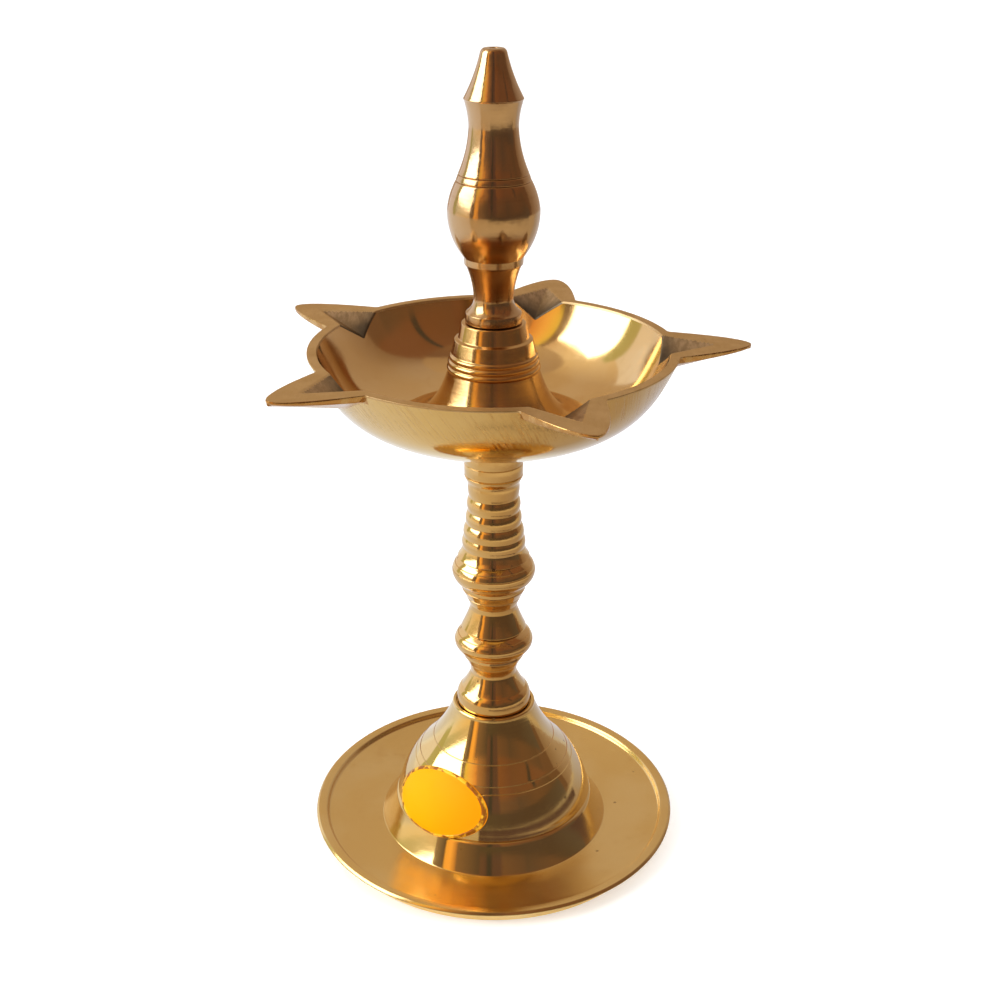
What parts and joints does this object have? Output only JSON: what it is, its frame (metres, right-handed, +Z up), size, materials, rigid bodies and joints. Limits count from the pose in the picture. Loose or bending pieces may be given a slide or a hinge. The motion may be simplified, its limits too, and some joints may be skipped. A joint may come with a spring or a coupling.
{
  "type": "standing oil lamp",
  "caption": "Brass standing oil lamp: round footed plate with a bell, turned stem, open oil bowl with wick spouts round its rim, and a turned finial.",
  "frame": {"origin": "on the lamp's axis, in the plane that its foot ring stands on", "axes": "+Z up along the lamp's axis, -Y towards the picture's viewer, one wick spout near +X"},
  "size_m": [0.1302, 0.1351, 0.2327],
  "materials": {
    "brass": "polished",
    "stud_brass": "machined",
    "foil": "gloss"
  },
  "bodies": {
    "base": {"base_casting": "brass", "foil_label": "foil"},
    "stem_thread": {"stem_stud": "stud_brass"},
    "stem": {"stem": "brass"},
    "bowl_thread": {"bowl_stud": "stud_brass"},
    "bowl": {"oil_bowl": "brass"},
    "finial_thread": {"finial_stud": "stud_brass"},
    "finial": {"finial": "brass"}
  },
  "joints": [
    {"name": "stem_rise", "type": "slide", "parent": "base", "child": "stem_thread", "axis": [0, 0, 1], "range_m": [0, 0.0075]},
    {"name": "stem_turn", "type": "hinge", "parent": "stem_thread", "child": "stem", "pos_m": [0, 0, 0.0415], "axis": [0, 0, 1], "range_deg": [0, 2160]},
    {"name": "bowl_rise", "type": "slide", "parent": "stem", "child": "bowl_thread", "axis": [0, 0, 1], "range_m": [0, 0.0075]},
    {"name": "bowl_turn", "type": "hinge", "parent": "bowl_thread", "child": "bowl", "pos_m": [0, 0, 0.12455], "axis": [0, 0, 1], "range_deg": [0, 2160]},
    {"name": "finial_rise", "type": "slide", "parent": "bowl", "child": "finial_thread", "axis": [0, 0, 1], "range_m": [0, 0.0075]},
    {"name": "finial_turn", "type": "hinge", "parent": "finial_thread", "child": "finial", "pos_m": [0, 0, 0.16125], "axis": [0, 0, 1], "range_deg": [0, 2700]}
  ],
  "couplings": [
    {"joint": "stem_turn", "follows": "stem_rise", "rad_per_m": 5026.5},
    {"joint": "bowl_turn", "follows": "bowl_rise", "rad_per_m": 5026.5},
    {"joint": "finial_turn", "follows": "finial_rise", "rad_per_m": 6283.2}
  ]
}
